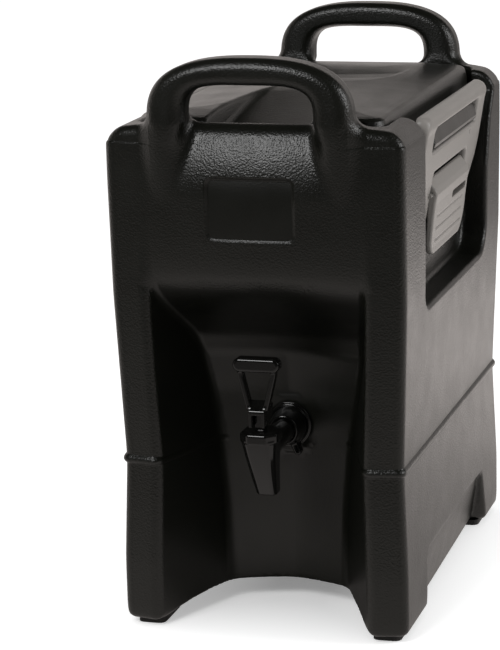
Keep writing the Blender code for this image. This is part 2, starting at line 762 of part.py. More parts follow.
bonnet_low = collar_top + GAP
neck_top = collar_top + NECK_H
tap_pin_y = tap_y - TAP_PIN_FORE
tap_pin_z = collar_top + TAP_PIN_UP
bonnet_top = bonnet_low + BONNET_FLANGE
bonnet = loft(
    "faucet_bonnet",
    [eight(SPOUT_R, tap_y, bonnet_low), eight(SPOUT_R, tap_y, bonnet_top)],
    "gloss_black",
)
neck = rounded(
    -NECK_HALF_X, NECK_HALF_X, tap_y - NECK_HALF_Y, tap_y + NECK_HALF_Y - 0.003, 0.002, 2
)
cut(bonnet, prism("helper_neck", neck, 2, bonnet_low + BONNET_FLANGE / 2, neck_top), "UNION")
stem_hole = circle(STEM_R + GAP, 14, (0.0, tap_y))
cut(bonnet, prism("helper_stem_hole", stem_hole, 2, bonnet_low - 0.010, neck_top + 0.010))
tap_pin_hole = circle(TAP_PIN_R + GAP, 12, (tap_pin_y, tap_pin_z))
cut(bonnet, prism("helper_pin_bonnet", tap_pin_hole, 0, -PAST, PAST))

cup_low = barrel_z + GAP
lift = (0.0, tap_y, cup_low)
cup = prism("seat_cup", circle(CUP_R, 16, (0.0, tap_y)), 2, cup_low, cup_low + CUP_H, "silicone", lift)
cut(cup, prism("helper_cup_hole", stem_hole, 2, cup_low + CUP_H / 2, cup_low + PAST))
stem = circle(STEM_R, 14, (0.0, tap_y))
prism("faucet_stem", stem, 2, cup_low + CUP_H / 2 + GAP, neck_top + STEM_UP, "gloss_black", lift)

cheek_in = NECK_HALF_X + 2 * GAP
cheek_out = cheek_in + CHEEK
grip_low = tap_pin_z - CHEEK_DOWN
web_low = tap_pin_z + WEB_UP
web_top = web_low + WEB_H
bar_low = web_top + EYE_H
grip_top = bar_low + GRIP_BAR
right_half = [
    (cheek_in, web_low),
    (cheek_in, grip_low),
    (cheek_out, grip_low),
    (cheek_out, web_top - 0.005),
    (GRIP_HALF - 0.0012, bar_low),
    (GRIP_HALF, bar_low + 0.002),
    (GRIP_HALF, grip_top - 0.003),
    (GRIP_HALF - 0.003, grip_top),
]
left_half = [(-x, z) for x, z in reversed(right_half)]
on_tap_pin = (0.0, tap_pin_y, tap_pin_z)
grip = prism(
    "faucet_handle",
    right_half + left_half,
    1,
    tap_pin_y - GRIP_Y,
    tap_pin_y + GRIP_Y,
    "gloss_black",
    on_tap_pin,
)
eye_low = cheek_in - 0.0005
eye_top = GRIP_HALF - 0.0055
eye = [(eye_low, web_top), (eye_top, bar_low), (-eye_top, bar_low), (-eye_low, web_top)]
cut(grip, prism("helper_eye", eye, 1, tap_pin_y - PAST, tap_pin_y + PAST))
cut(grip, prism("helper_pin_grip", tap_pin_hole, 0, -PAST, PAST))
tap_pin = circle(TAP_PIN_R, 12, (tap_pin_y, tap_pin_z))
prism("handle_pin", tap_pin, 0, -cheek_out, cheek_out, "steel", on_tap_pin)

inside = circle(SHANK_R + GAP, 48, (0.0, SHANK_Z))
washer_out = circle(WASHER_R, 48, (0.0, SHANK_Z))
washer_face = boss_face - GAP - WASHER
ring("outer_washer", washer_out, inside, 1, washer_face, boss_face - GAP, "rubber")
turn = np.arange(48) / 48 * 2 * np.pi
lobes = NUT_R + NUT_LOBE * np.clip(2 * np.cos(4 * turn + np.pi) - 0.6, 0, 1)
wings = np.stack([lobes * np.cos(turn), lobes * np.sin(turn) + SHANK_Z], 1)
nut_face = washer_face - GAP
ring("wing_nut", wings, inside, 1, nut_face - NUT_THICK, nut_face, "gloss_black")
inner_face = hollow_front + GAP
ring("inner_washer", washer_out, inside, 1, inner_face, inner_face + WASHER, "silicone")
hex_turn = np.pi / 6
sides = NUT_R * np.cos(np.pi / 6) / np.cos((turn + hex_turn) % (np.pi / 3) - np.pi / 6)
hexagon = np.stack([sides * np.cos(turn), sides * np.sin(turn) + SHANK_Z], 1)
nut_low = inner_face + WASHER + GAP
ring("inner_nut", hexagon, inside, 1, nut_low, nut_low + NUT_THICK, "gloss_black")
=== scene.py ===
"""Looks of the insulated drink server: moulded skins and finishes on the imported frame, in a white studio."""

import bpy
import numpy as np
from mathutils import Matrix


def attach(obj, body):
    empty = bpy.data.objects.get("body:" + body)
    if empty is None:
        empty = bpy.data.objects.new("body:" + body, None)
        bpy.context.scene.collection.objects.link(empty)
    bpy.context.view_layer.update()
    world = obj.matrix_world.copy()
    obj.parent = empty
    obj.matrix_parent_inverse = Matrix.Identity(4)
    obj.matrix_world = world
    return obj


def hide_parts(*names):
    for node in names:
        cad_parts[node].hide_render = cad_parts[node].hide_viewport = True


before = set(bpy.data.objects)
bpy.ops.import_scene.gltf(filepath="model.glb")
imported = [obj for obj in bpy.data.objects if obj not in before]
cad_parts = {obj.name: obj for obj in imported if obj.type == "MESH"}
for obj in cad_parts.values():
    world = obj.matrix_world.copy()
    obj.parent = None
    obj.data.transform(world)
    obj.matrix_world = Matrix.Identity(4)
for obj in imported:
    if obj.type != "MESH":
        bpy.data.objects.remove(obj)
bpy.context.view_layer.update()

# Sizes and places in metres. A half is measured from the middle plane.
HALF_W = 0.13075
HALF_D = 0.210
BOW = 0.012
CORNER_R = 0.009
FOOT_Z = 0.0055
BELT_Z = 0.152
WALL_TOP = 0.449
SHOULDER_R = 0.0155
SEAT_Z = 0.412
SEAT_X = 0.1075
SEAT_Y = 0.1915
RECESS_X = 0.105
HANDLE_Y = 0.2095
HANDLE_SPRING = 0.452
SHANK_Z = 0.165
LATCH_Y = 0.0105
FRAME_LEAN = 0.17
HANDLE_HALF_T = 0.018
HANDLE_FOOT_Z = 0.365
LABEL_Z = 0.379
LABEL_HALF_W = 0.0395
LABEL_HALF_H = 0.028
LID_HALF_W = 0.106
LID_HALF_D = 0.190
SPOUT_Y = -0.200
PIN_Y = -0.2065
PIN_Z = 0.193
LEVER_RIBS = (0.3235, 0.3345, 0.3455)

# Height of the shell, then how far its sides and its ends stand in from the full size
WALL = np.array(
    [
        (-0.010, 0.0048, 0.0065),
        (0.0055, 0.0043, 0.0062),
        (0.0120, 0.0028, 0.0050),
        (0.0600, 0.0028, 0.0048),
        (0.1480, 0.0062, 0.0075),
        (0.1560, 0.0062, 0.0075),
        (0.3000, 0.0008, 0.0025),
        (0.4000, 0.0000, 0.0000),
        (0.5200, 0.0000, 0.0000),
    ]
)
# Height of the spigot bay, its half width at the lip and at the back corner, the y of that corner, and the y
# of the back wall's middle
BAY = np.array(
    [
        (-0.030, 0.0950, 0.0537, -0.1200, -0.1040),
        (0.020, 0.0945, 0.0537, -0.1200, -0.1040),
        (0.090, 0.0930, 0.0553, -0.1200, -0.1040),
        (0.153, 0.0915, 0.0605, -0.1200, -0.1040),
        (0.196, 0.0922, 0.0675, -0.1205, -0.1055),
        (0.2315, 0.0932, 0.0735, -0.1260, -0.1120),
        (0.253, 0.0938, 0.0770, -0.1400, -0.1270),
        (0.2705, 0.0942, 0.0830, -0.1600, -0.1500),
        (0.285, 0.0945, 0.0875, -0.1790, -0.1745),
        (0.297, 0.0947, 0.0905, -0.1935, -0.1930),
        (0.308, 0.0949, 0.0930, -0.2035, -0.2060),
        (0.320, 0.0950, 0.0945, -0.2095, -0.2150),
        (0.333, 0.0950, 0.0950, -0.2130, -0.2190),
        (0.350, 0.0950, 0.0950, -0.2160, -0.2225),
        (0.380, 0.0950, 0.0950, -0.2200, -0.2270),
        (0.420, 0.0950, 0.0950, -0.2300, -0.2400),
    ]
)
# Height of the lid's top by the distance in from its rim
LID_IN = np.linspace(-0.02, 0.12, 400)
LID_TOP = np.interp(
    LID_IN,
    (-0.02, 0, 0.0025, 0.006, 0.012, 0.034, 0.070, 0.12),
    (0.396, 0.4455, 0.4495, 0.4513, 0.4523, 0.4546, 0.4568, 0.4578),
)
LID_TILT = np.gradient(LID_TOP, LID_IN)
# Height up a latch lever, and how far out its face is there, then the same for its back
LEVER_FACE = (
    (0.305, 0.311, 0.318, 0.330, 0.345, 0.358, 0.367, 0.390),
    (0.1192, 0.1192, 0.1192, 0.1203, 0.1220, 0.1238, 0.1256, 0.1256),
)
LEVER_BACK = ((0.305, 0.311, 0.330, 0.345, 0.390), (0.1128, 0.1128, 0.1140, 0.1152, 0.1152))


def linear(code):
    """An sRGB hex colour as linear red, green, blue and alpha."""
    part = np.array([int(code[i : i + 2], 16) for i in (1, 3, 5)]) / 255
    return (*np.where(part < 0.04045, part / 12.92, ((part + 0.055) / 1.055) ** 2.4), 1.0)


def add(tree, kind, settings=None, **inputs):
    """A shader node with its settings, and each input given as a value or as the socket that feeds it."""
    made = tree.nodes.new(kind)
    for key, value in (settings or {}).items():
        setattr(made, key, value)
    for key, value in inputs.items():
        socket = made.inputs[int(key[1:])] if key[1:].isdigit() else made.inputs[key.replace("_", " ")]
        if isinstance(value, bpy.types.NodeSocket):
            tree.links.new(value, socket)
        else:
            socket.default_value = value
    return made


def steps(*spans):
    """Grid lines along one axis: spans of (start, stop, spacing) joined end to end."""
    runs = [np.linspace(a, b, max(round((b - a) / s), 1), endpoint=False) for a, b, s in spans]
    return np.concatenate(runs + [[spans[-1][1]]])


def both_ways(half):
    """Grid lines from nought outwards, mirrored to the other side."""
    return np.concatenate([-half[:0:-1], half])


def eased(table, column, window):
    """A column of a table by height, averaged over the window so that no row shows as a crease."""
    z = np.linspace(table[0, 0] - window, table[-1, 0] + window, 1200)
    line = np.interp(z, table[:, 0], table[:, column])
    wide = max(int(window / (z[1] - z[0])), 1) | 1
    bell = np.hanning(wide + 2)[1:-1]
    ends = np.pad(line, wide // 2, mode="edge")
    return z, np.convolve(ends, bell / bell.sum(), mode="valid")


def round_max(a, b, r):
    """The solid common to two solids given by depth, with the edge between them rounded to radius r."""
    return np.minimum(np.maximum(a, b), -r) + np.hypot(np.maximum(a + r, 0), np.maximum(b + r, 0))


def round_min(a, b, r):
    """Two solids joined, with a fillet of radius r between them."""
    return -round_max(-a, -b, r)


def carve(a, b, r):
    """The first solid with the second taken out of it, and a lip of radius r."""
    return round_max(a, -b, r)


def put(name, points, faces, normals=None):
    """Arrays of points and of faces with the same number of corners, as a smooth mesh object."""
    mesh = bpy.data.meshes.new(name)
    count, corners = faces.shape
    mesh.vertices.add(len(points))
    mesh.vertices.foreach_set("co", np.ascontiguousarray(points, np.float32).ravel())
    mesh.loops.add(count * corners)
    mesh.loops.foreach_set("vertex_index", np.ascontiguousarray(faces, np.int32).ravel())
    mesh.polygons.add(count)
    mesh.polygons.foreach_set("loop_start", np.arange(0, count * corners, corners, dtype=np.int32))
    mesh.update(calc_edges=True)
    mesh.validate()
    mesh.polygons.foreach_set("use_smooth", np.ones(len(mesh.polygons), bool))
    if normals is not None:
        mesh.normals_split_custom_set_from_vertices(normals)
    made = bpy.data.objects.new(name, mesh)
    bpy.context.scene.collection.objects.link(made)
    return made


def mould(field, xs, ys, zs):
    """Skin of a moulded solid. The field gives depth: below nought inside, above nought outside.

    It is worked out on the whole grid of x, y and z lines. Each cell that the skin passes through gets one
    point, at the mean of where the skin cuts the cell's edges, slid along the field's slope onto the skin.
    Each cut grid line joins the four points around it as a face. The slope gives the normals.
    """
    f = field(xs[:, None, None], ys[None, :, None], zs[None, None, :])
    solid = f < 0
    shape = np.array(f.shape)
    size = shape - 1
    part = [slice(0, -1), slice(1, None)]
    ends = (0, 1)
    filled = sum(solid[part[i], part[j], part[k]].astype(np.int8) for i in ends for j in ends for k in ends)
    cells = np.argwhere((filled > 0) & (filled < 8))
    place = np.full(size, -1, np.int32)
    place[tuple(cells.T)] = np.arange(len(cells))
    lines = (xs, ys, zs)
    total = np.zeros((len(cells), 3))
    cuts = np.zeros(len(cells))
    for axis in range(3):
        u, v = [a for a in range(3) if a != axis]
        for du in (0, 1):
            for dv in (0, 1):
                low = cells.copy()
                low[:, u] += du
                low[:, v] += dv
                high = low.copy()
                high[:, axis] += 1
                a, b = f[tuple(low.T)], f[tuple(high.T)]
                hit = (a < 0) != (b < 0)
                t = np.where(hit, a / np.where(hit, a - b, 1), 0)
                spot = np.stack([lines[k][low[:, k]] for k in range(3)], 1)
                spot[:, axis] += t * (lines[axis][high[:, axis]] - lines[axis][low[:, axis]])
                total += spot * hit[:, None]
                cuts += hit
    points = total / cuts[:, None]
    room = np.stack([np.diff(lines[k])[cells[:, k]] for k in range(3)], 1) * 0.7
    start = points.copy()
    for _ in range(3):
        depth, slope = sloped(field, points)
        points = points - slope * (depth / (slope**2).sum(1))[:, None]
        points = np.clip(points, start - room, start + room)
    slope = sloped(field, points)[1]
    quads = []
    for axis in range(3):
        u, v = (axis + 1) % 3, (axis + 2) % 3
        low = [slice(1, -1)] * 3
        low[axis] = slice(0, -1)
        high = [slice(1, -1)] * 3
        high[axis] = slice(1, None)
        at = np.argwhere(solid[tuple(low)] != solid[tuple(high)])
        at += np.where(np.arange(3) == axis, 0, 1)
        out = solid[tuple(at.T)]
        ring = []
        for du, dv in ((-1, -1), (0, -1), (0, 0), (-1, 0)):
            cell = at.copy()
            cell[:, u] += du
            cell[:, v] += dv
            ring.append(place[tuple(cell.T)])
        ring = np.stack(ring, 1)
        quads.append(np.where(out[:, None], ring, ring[:, ::-1]))
    return points, np.concatenate(quads), slope / np.linalg.norm(slope, axis=1)[:, None]


def sloped(field, points, reach=0.0002):
    """Depth at points and its slope, from differences a fifth of a millimetre apart."""
    x, y, z = points.T
    depth = field(x, y, z)
    slope = np.stack(
        [
            field(x + reach, y, z) - field(x - reach, y, z),
            field(x, y + reach, z) - field(x, y - reach, z),
            field(x, y, z + reach) - field(x, y, z - reach),
        ],
        1,
    )
    return depth, slope / (2 * reach)


side_in = eased(WALL, 1, 0.030)
end_in = eased(WALL, 2, 0.030)
bay_lip, bay_back, bay_deep, bay_mid = [eased(BAY, k, 0.018) for k in (1, 2, 3, 4)]


def bay_field(x, y, z):
    """Depth of the spigot bay: a bowed back wall and two splayed side walls, by height from the table."""
    lip, back, deep, mid = [np.interp(z, *run) for run in (bay_lip, bay_back, bay_deep, bay_mid)]
    rise = (np.interp(z + 0.001, *bay_mid) - np.interp(z - 0.001, *bay_mid)) / 0.002
    u = x / back + 1e-6
    slant = 1.4 * (deep - mid) * u**0.4 / back
    wall = (y - mid - (deep - mid) * u**1.4) / np.sqrt(1 + slant**2 + rise**2)
    open_by = np.minimum(-0.208 - deep, -0.004)
    splay = (lip - back) / open_by
    side = ((x - back) - (y - deep) * splay) / np.sqrt(1 + splay**2)
    side = side + 0.0010 * np.maximum(1 - ((z - BELT_Z) / 0.003) ** 2, 0)
    return round_max(wall, side, 0.005)


def handle_field(x, y, z):
    """Depth of a carrying handle: an arched band between two rounded curves, with a rounded section."""
    up = np.maximum(z - HANDLE_SPRING, 0)
    far = np.hypot(x, up) + 1e-6
    down = np.maximum(HANDLE_SPRING - z, 0)
    over = ((x / (0.0893 - 0.15 * down)) ** 2.667 + (up / 0.055) ** 2.667) ** (1 / 2.667) + 1e-6
    under = ((x / (0.0553 + 0.30 * down)) ** 4 + (up / 0.032) ** 4) ** 0.25 + 1e-6
    outer = far * (1 - 1 / over)
    inner = far * (1 - 1 / under)
    half = np.clip((inner - outer) / 2, 0.002, HANDLE_HALF_T)
    middle = HANDLE_Y - 0.12 * down - 3.2 * down**2
    across = np.abs(inner + outer) / 2 - half
    band = round_max(across, np.abs(np.abs(y) - middle) - HANDLE_HALF_T, 0.88 * half)
    return np.maximum(band, HANDLE_FOOT_Z - z)


def recess_field(x, y, z):
    """Depth of the hollow in each side that holds a latch: round lower corners, and a flare at the rear."""
    rear = np.interp(z, (0.300, 0.360, 0.405, 0.427), (0.1385, 0.1405, 0.1545, 0.1715))
    edge = round_max(-0.1265 - y, 0.279 - z, 0.017)
    edge = round_max(edge, y - rear, 0.030)
    return round_max(edge, RECESS_X - x, 0.005)


def hold_field(x, y, z):
    """Depth of the sloping hand hold low in each side, between the feet."""
    deep = 0.0135 * (0.0615 - z) / 0.066 + 0.016 * (y + 0.121)
    face = HALF_W - 0.0028 - deep - x
    rear = (y - 0.1205) * 0.930 + (z - 0.0615) * 0.366
    edge = round_max(-0.120 - y, z - 0.0605, 0.014)
    edge = round_max(edge, rear, 0.006)
    return round_max(face, edge, 0.003)


def label_outline(x, y, z):
    """Distance into the outline of the label tray on the front: a rounded oblong."""
    oblong = round_max(np.abs(x) - LABEL_HALF_W, np.abs(z - LABEL_Z) - LABEL_HALF_H, 0.0075)
    return np.maximum(oblong, y)


def shell_field(x, y, z):
    """Depth of the whole outer shell, built up and carved in the order that a pattern maker would."""
    x = np.abs(x)
    bead = 0.0022 * np.maximum(1 - ((z - BELT_Z) / 0.0042) ** 2, 0)
    seam = 0.0007 * np.clip((z - 0.4325) / 0.0008, 0, 1) * np.clip((x - 0.084) / 0.003, 0, 1)
    half_w = HALF_W - np.interp(z, *side_in) + bead - seam
    between = 1 - np.clip((x - 0.046) / 0.040, 0, 1) ** 2
    roll = 0.0168 * np.clip((z - 0.385) / 0.061, 0, 1.1) ** 2 * between
    tray = (0.0019 + 0.03 * (z - LABEL_Z + LABEL_HALF_H)) * np.clip(-label_outline(x, y, z) / 0.0030, 0, 1)
    half_d = HALF_D - np.interp(z, *end_in) + bead - seam - roll - tray
    bow = BOW * (1 - np.minimum(x / (half_w - CORNER_R), 1) ** 2)
    crown = z - WALL_TOP + 0.005 * np.clip((x - 0.075) / 0.050, 0, 1) ** 2
    body = round_max(round_max(x - half_w, crown, SHOULDER_R), np.abs(y) - half_d - bow, CORNER_R)
    body = round_max(body, FOOT_Z - z, 0.006)
    body = round_min(body, handle_field(x, y, z), 0.013)
    body = carve(body, bay_field(x, y, z), 0.008)
    boss = round_max(np.hypot(x, z - SHANK_Z) - 0.027, -0.106 - y, 0.002)
    body = round_min(body, np.maximum(boss, y + 0.090), 0.003)
    body = carve(body, recess_field(x, y, z), 0.0045)
    body = carve(body, hold_field(x, y, z), 0.004)
    arch = z - FOOT_Z - 0.0135 * (1 - (x / 0.0935) ** 6)
    body = carve(body, arch, 0.002)
    seat = round_max(x - SEAT_X, np.abs(y) - SEAT_Y, 0.0175)
    body = carve(body, np.maximum(seat, SEAT_Z - z), 0.003)
    cavity = round_max(x - 0.100, np.abs(y - 0.0485) - 0.1415, 0.016)
    return np.maximum(body, -np.maximum(cavity, 0.062 - z))


def dress(piece, body, slot, *nodes):
    """Hangs a finished piece on its moving body, in place of the plain solids it covers."""
    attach(piece, body)
    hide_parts(*nodes)
    return piece


def share(name, points, faces, normals, keep):
    """The faces of a skin picked by keep, with only the points that they use."""
    used, renumbered = np.unique(faces[keep], return_inverse=True)
    return put(name, points[used], renumbered.reshape(-1, faces.shape[1]), normals[used])


def grained(piece, smooth):
    """Gives a skin its share of the mould's grain at each point: full outside, little where it is smooth."""
    points = np.empty(len(piece.data.vertices) * 3, np.float32)
    piece.data.vertices.foreach_get("co", points)
    share_of = 1 - 0.8 * smooth(*points.reshape(-1, 3).T)
    grain = piece.data.attributes.new("grain", "FLOAT", "POINT")
    grain.data.foreach_set("value", share_of.astype(np.float32))
    return piece


def shell_smooth(x, y, z):
    """Where the shell's mould was polished: one in the spigot bay and the label tray, nought outside."""
    bay = np.clip((y + 0.206) / 0.008, 0, 1) * (y < -0.09) * (np.abs(x) < 0.1) * (z < 0.33)
    return np.maximum(bay, np.clip(-label_outline(x, y, z) / 0.002, 0, 1))


def lid_smooth(x, y, z):
    """The lid's grain is about three quarters as deep as the shell's all over."""
    return np.full(x.shape, 0.35)


def shell():
    """The outer shell's skin, parted at the belt. Grid lines crowd where its edges, beads and fillets are."""
    xs = both_ways(
        steps((0, 0.033, 0.0055), (0.033, 0.0415, 0.0008), (0.0415, 0.0825, 0.0029), (0.0825, 0.1345, 0.0019))
    )
    ys = steps(
        (-0.236, -0.216, 0.0014), (-0.216, -0.186, 0.0019), (-0.186, -0.090, 0.003), (-0.090, 0.124, 0.008),
        (0.124, 0.190, 0.003), (0.190, 0.236, 0.0022),
    )
    zs = steps(
        (-0.003, 0.070, 0.0028), (0.070, 0.140, 0.006), (0.140, 0.164, 0.001), (0.164, 0.268, 0.005),
        (0.268, 0.349, 0.0026), (0.349, 0.357, 0.0008), (0.357, 0.402, 0.003), (0.402, 0.409, 0.0008),
        (0.409, 0.412, 0.0015), (0.412, 0.430, 0.002), (0.430, 0.436, 0.0006), (0.436, 0.512, 0.0019),
    )
    points, faces, normals = mould(shell_field, xs, ys, zs)
    middle = points[faces].mean(1)
    hidden = (np.abs(middle[:, 0]) < 0.1005) & (middle[:, 1] > -0.0935) & (middle[:, 1] < 0.1905)
    hidden &= (middle[:, 2] > 0.061) & (middle[:, 2] < 0.404)
    above = middle[:, 2] > 0.164
    return [
        share("upper_shell_skin", points, faces, normals, above & ~hidden),
        share("lower_shell_skin", points, faces, normals, ~above & ~hidden),
    ]


shell_skins = [grained(skin, shell_smooth) for skin in shell()]
for skin in shell_skins:
    dress(skin, "body", "black_textured", "outer_shell")


def lid_field(x, y, z):
    """Depth of the lid: a low dome on a rounded oblong, a scoop, a dish, and a ledge for each latch."""
    x = np.abs(x)
    end = LID_HALF_D - 0.009 * np.clip((x - 0.058) / 0.022, 0, 1) ** 2
    plan = round_max(x - LID_HALF_W, np.abs(y) - end, 0.018)
    rise = np.interp(-plan, LID_IN, LID_TOP)
    dome = (z - rise) / np.sqrt(1 + np.interp(-plan, LID_IN, LID_TILT) ** 2)
    body = round_max(round_max(plan, dome, 0.003), 0.4135 - z, 0.001)
    u = np.minimum(x / np.where(y > 0, 0.074, 0.048), 2)
    side = (0.010 + 0.190 * u**5 - np.abs(y)) / np.sqrt(1 + (18.0 * u**4) ** 2)
    front = 0.4345 + 0.18 * np.maximum(0.150 + y, 0)
    rear = 0.4524 + 0.12 * np.maximum(0.060 - y, 0) + 0.11 * np.maximum(y - 0.085, 0)
    floor = np.where(y > 0, rear, front) + 0.003 * u**2 - z
    body = carve(body, round_max(side + 0.35 * (0.4550 - z), floor, 0.005), 0.003)
    out, up = x - 0.1285, z - 0.4155
    ledge = np.maximum(out * 0.934 - up * 0.358, out * 0.956 + up * 0.294)
    ledge = round_max(ledge, np.abs(z - 0.4182) - 0.0087, 0.0012)
    ledge = round_max(ledge, np.abs(y - LATCH_Y) - 0.0905, 0.0025)
    return round_min(body, np.maximum(ledge, 0.100 - x), 0.002)


def frame_field(x, y, z):
    """Depth of a latch frame: a leaning plate with a hanging bar, a window and two tapered legs."""
    face = 0.1305 - FRAME_LEAN * np.maximum(0.432 - z, 0)
    inner = np.maximum(face - 0.010, 0.1068)
    slab = np.abs(x - (face + inner) / 2) - (face - inner) / 2
    far = np.abs(y - LATCH_Y)
    widest = np.interp(z, (0.345, 0.356, 0.372, 0.388, 0.450), (0.086, 0.107, 0.1205, 0.126, 0.126))
    outline = round_max(far - widest, z - 0.4405, 0.013)
    outline = round_max(outline, 0.3435 - z, 0.005)
    bay = round_max(far - 0.0715, z - 0.386, 0.006)
    window = round_max(far - 0.093, np.abs(z - 0.41925) - 0.01075, 0.004)
    plate = round_max(carve(carve(outline, bay, 0.003), window, 0.002), slab, 0.0035)
    bar = round_max(np.hypot(x - 0.1222, z - 0.4352) - 0.0083, far - 0.1258, 0.007)
    bar = round_max(bar, 0.1184 - x, 0.0015)
    plate = round_min(plate, carve(bar, window, 0.002), 0.004)
    dimple = np.sqrt((y - LATCH_Y - 0.073) ** 2 + (z - 0.4020) ** 2 + (x - face - 0.0008) ** 2) - 0.0028
    return carve(plate, dimple, 0.0008)


def lever_field(x, y, z):
    """Depth of a latch lever: a bowed plate with a sloping head, a slot and three shallow grooves."""
    y = y - LATCH_Y
    ribs = sum(np.exp(-(((z - at) / 0.0008) ** 2)) for at in LEVER_RIBS)
    cut = 0.0009 * ribs * np.clip((0.054 - np.abs(y)) / 0.002, 0, 1)
    face = np.interp(z, *LEVER_FACE) - cut
    back = np.interp(z, *LEVER_BACK)
    head = (x - 0.1256) * 0.795 + (z - 0.3692) * 0.606
    profile = round_max(round_max(x - face, head, 0.0022), np.maximum(back - x, z - 0.3802), 0.0012)
    outline = round_max(-0.070 - y, 0.311 - z, 0.014)
    outline = round_max(outline, y - 0.070, 0.026)
    plate = round_max(outline, profile, 0.0024)
    slot = round_max(np.abs(y - 0.033) - 0.029, np.abs(z - 0.3545) - 0.003, 0.0025)
    plate = carve(plate, slot, 0.0008)
    for at in LEVER_RIBS:
        pit = np.sqrt((y + 0.055) ** 2 + (z - at) ** 2 + ((x - face) * 0.7) ** 2) - 0.0013
        plate = carve(plate, pit, 0.0004)
    return plate


def rounded_eight(x, y, half, corner, r):
    """Depth of an eight sided bar: half across four flats, corner times that across the rest, eased edges."""
    square = round_max(np.abs(x) - half, np.abs(y) - half, r)
    return round_max(square, (np.abs(x) + np.abs(y)) * 0.7071 - half * corner, r)


def faucet_field(x, y, z):
    """Depth of the spigot's body: a raking, tapering eight sided spout, a bevelled collar, and a shank."""
    down = np.clip((0.1755 - z) / 0.0535, -0.2, 1.2)
    middle = SPOUT_Y + 0.0195 * np.maximum(down, 0) ** 1.3
    spout = rounded_eight(x, y - middle, 0.0150 - 0.0060 * down, 1.17, 0.0012) * 0.92
    spout = round_max(spout, np.maximum(0.122 - z, z - 0.178), 0.002)
    spout = carve(spout, np.hypot(x, y - middle) - 0.0062 + np.maximum(z - 0.135, 0), 0.0006)
    eight = rounded_eight(x, y - SPOUT_Y, 0.0168, 1.05, 0.001)
    collar = round_max(eight, np.abs(z - 0.1802) - 0.0050, 0.001)
    collar = round_max(collar, (eight + z - 0.1852 + 0.0026) * 0.7071, 0.0008)
    far = np.hypot(x, z - SHANK_Z)
    shank = round_max(far - 0.011, np.maximum(-0.194 - y, y + 0.052), 0.001)
    shank = carve(shank, np.maximum(far - 0.006, -0.080 - y), 0.0006)
    return round_min(round_min(spout, collar, 0.001), shank, 0.002)


def bonnet_field(x, y, z):
    """Depth of the bonnet: an eight sided flange in the collar with a narrow neck up its middle."""
    eight = rounded_eight(x, y - SPOUT_Y, 0.0138, 1.05, 0.001)
    flange = round_max(eight, np.abs(z - 0.18285) - 0.00205, 0.0008)
    neck = round_max(np.abs(x) - 0.0040, np.abs(y + 0.1990) - 0.0060, 0.001)
    return round_min(flange, round_max(neck, np.abs(z - 0.190) - 0.009, 0.001), 0.001)


def grip_field(x, y, z):
    """Depth of the spigot's handle: a pill shaped bar, two splayed legs, and a forked block on the pin."""
    x = np.abs(x)
    bar = np.hypot(np.maximum(x - 0.0145, 0), z - 0.2440) - 0.0062
    bar = round_max(bar, np.abs(y + 0.2072) - 0.0064, 0.0030)
    out = np.interp(z, (0.203, 0.213, 0.2340, 0.244), (0.0066, 0.0092, 0.0143, 0.0150))
    leg = round_max(np.abs(x - out) * 0.97 - 0.0023, np.abs(y + 0.2068) - 0.0044, 0.0014)
    leg = round_max(leg, np.maximum(0.204 - z, z - 0.2440), 0.001)
    low = PIN_Z + np.maximum(0.70 * (y - PIN_Y) - 0.0098, -0.0035)
    block = round_max(x - 0.0071 - 0.28 * np.maximum(z - 0.2035, 0), np.abs(y - SPOUT_Y) - 0.0140, 0.0008)
    ridge = np.maximum((z - 0.2035 - 1.2 * (y + 0.214)) * 0.64, (z - 0.2125 + 0.35 * (y - PIN_Y)) * 0.94)
    block = round_max(block, np.maximum(ridge, (low - z) * 0.82), 0.0007)
    block = carve(block, round_max(x - 0.0044, z - 0.2003, 0.0008), 0.0005)
    pin = round_max(np.hypot(y - PIN_Y, z - PIN_Z) - 0.0021, x - 0.0078, 0.0004)
    block = round_min(block, np.maximum(pin, 0.005 - x), 0.0003)
    return round_min(round_min(bar, leg, 0.0014), block, 0.0012)


def nut_field(x, y, z):
    """Depth of the nut on the shank: a round flange, a tapering hub in front, and two short wings below."""
    far = np.hypot(x, z - SHANK_Z)
    disc = round_max(far - 0.0208, np.abs(y + 0.1099) - 0.0018, 0.0012)
    hub = round_max(far - 0.0135 - 0.22 * (y + 0.132), np.abs(y + 0.1210) - 0.0110, 0.0016)
    body = round_min(disc, hub, 0.0012)
    for lean in (-0.42, 0.42):
        along = x * np.sin(lean) - (z - SHANK_Z) * np.cos(lean)
        across = x * np.cos(lean) + (z - SHANK_Z) * np.sin(lean)
        wing = round_max(np.abs(across) - 0.0034, np.abs(along - 0.0190) - 0.0085, 0.003)
        body = round_min(body, round_max(wing, np.abs(y + 0.1165) - 0.0042, 0.0016), 0.002)
    return carve(body, far - 0.0113, 0.0004)


def even(low, high, step):
    """Even grid lines through a box, one set for each axis."""
    return [steps((a, b, step)) for a, b in zip(low, high)]


def twins(name, field, *lines):
    """A right hand skin of a field, and its mirror image on the left."""
    points, faces, normals = mould(field, *lines)
    turn = np.array((-1.0, 1.0, 1.0))
    return [
        put("right_" + name, points, faces, normals),
        put("left_" + name, points * turn, faces[:, ::-1], normals * turn),
    ]


lid_xs = both_ways(steps((0, 0.060, 0.0032), (0.060, 0.0975, 0.003), (0.0975, 0.131, 0.0015)))
lid_ys = steps((-0.194, -0.160, 0.0019), (-0.160, 0.160, 0.0034), (0.160, 0.194, 0.0019))
lid_zs = steps((0.411, 0.4605, 0.0014))
lid_skin = grained(put("lid_skin", *mould(lid_field, lid_xs, lid_ys, lid_zs)), lid_smooth)
dress(lid_skin, "lid", "black_textured", "lid_shell")

